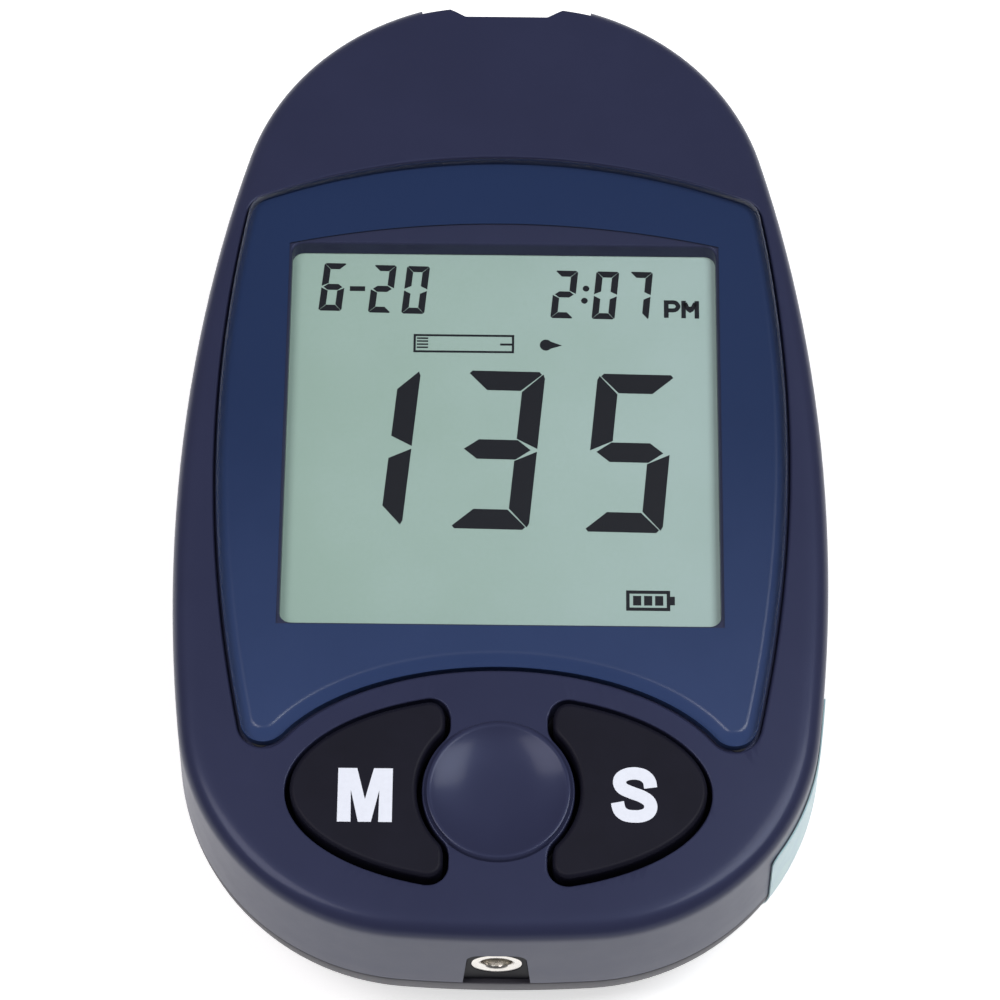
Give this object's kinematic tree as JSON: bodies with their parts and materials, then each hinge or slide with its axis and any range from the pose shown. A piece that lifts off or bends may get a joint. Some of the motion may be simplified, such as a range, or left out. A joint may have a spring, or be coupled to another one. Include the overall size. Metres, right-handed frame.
{
  "type": "blood glucose meter",
  "caption": "Hand-held test strip reader: rounded two-shell case, shield-shaped display lens over a large LCD, two crescent keys round a thumb dish, strip port, data jack and coin-cell door.",
  "frame": {"origin": "middle of the footprint on the back face, which the meter lies on", "axes": "+Z out of the display, +Y to the strip end, +X to the right as the display is read"},
  "size_m": [0.0574, 0.0922, 0.0219],
  "materials": {
    "case_front": "fine satin moulded, dark navy with a violet cast",
    "case_back": "fine satin moulded, darker than the front",
    "lens": "polished clear lens with a dark blue border printed behind it",
    "adhesive": "thin foam tape",
    "lcd_glass": "flat glass, grey-green",
    "reflector": "pale grey-green film",
    "frame_plastic": "moulded, off-white",
    "connector_rubber": "layered silicone",
    "circuit_board": "green solder mask over glass-fibre",
    "chip_resin": "moulded epoxy",
    "capacitor": "fired ceramic with tinned ends",
    "black_plastic": "moulded, black",
    "nickel": "bright nickel plate",
    "steel": "plain stainless",
    "gold": "thin gold plate",
    "key_rubber": "soft matte silicone, near black",
    "chip_plastic": "moulded, dark",
    "seal": "plain pale teal film",
    "label": "plain silver-grey film"
  },
  "bodies": {
    "meter": {"front_case": "case_front", "back_case": "case_back", "display_lens": "lens", "lens_adhesive": "adhesive", "lcd_front_glass": "lcd_glass", "lcd_rear_glass": "lcd_glass", "lcd_reflector": "reflector", "lcd_frame": "frame_plastic", "zebra_strips": "connector_rubber", "main_board": "circuit_board", "microcontroller": "chip_resin", "memory_chip": "chip_resin", "clock_crystal": "nickel", "chip_capacitors": "capacitor", "buzzer": "black_plastic", "strip_connector": "frame_plastic", "strip_contacts": "gold", "strip_port_bezel": "case_front", "coin_cell": "steel", "battery_positive_clip": "nickel", "battery_negative_spring": "nickel", "data_jack_body": "black_plastic", "data_jack_sleeve": "nickel", "data_jack_contacts": "nickel", "keypad_mat": "key_rubber", "memory_dome": "key_rubber", "set_dome": "key_rubber", "key_contact_pads": "gold", "case_screws": "steel", "board_screws": "steel", "code_chip_socket": "black_plastic", "code_chip_contacts": "gold", "seal_label": "seal", "back_label": "label"},
    "memory_key": {"memory_button": "key_rubber"},
    "set_key": {"set_button": "key_rubber"},
    "door": {"battery_door": "case_back"},
    "chip": {"code_chip": "chip_plastic"}
  },
  "joints": [
    {"name": "memory_press", "type": "slide", "parent": "meter", "child": "memory_key", "axis": [0, 0, -1], "range_m": [0, 0.0008], "stiffness_N_per_m": 2500, "springref_m": -0.0002, "deforming": ["memory_dome"]},
    {"name": "set_press", "type": "slide", "parent": "meter", "child": "set_key", "axis": [0, 0, -1], "range_m": [0, 0.0008], "stiffness_N_per_m": 2500, "springref_m": -0.0002, "deforming": ["set_dome"]},
    {"name": "door_slide", "type": "slide", "parent": "meter", "child": "door", "axis": [0, -1, 0], "range_m": [0, 0.036]},
    {"name": "code_chip_pull", "type": "slide", "parent": "meter", "child": "chip", "axis": [-1, 0, 0], "range_m": [0, 0.017]}
  ]
}
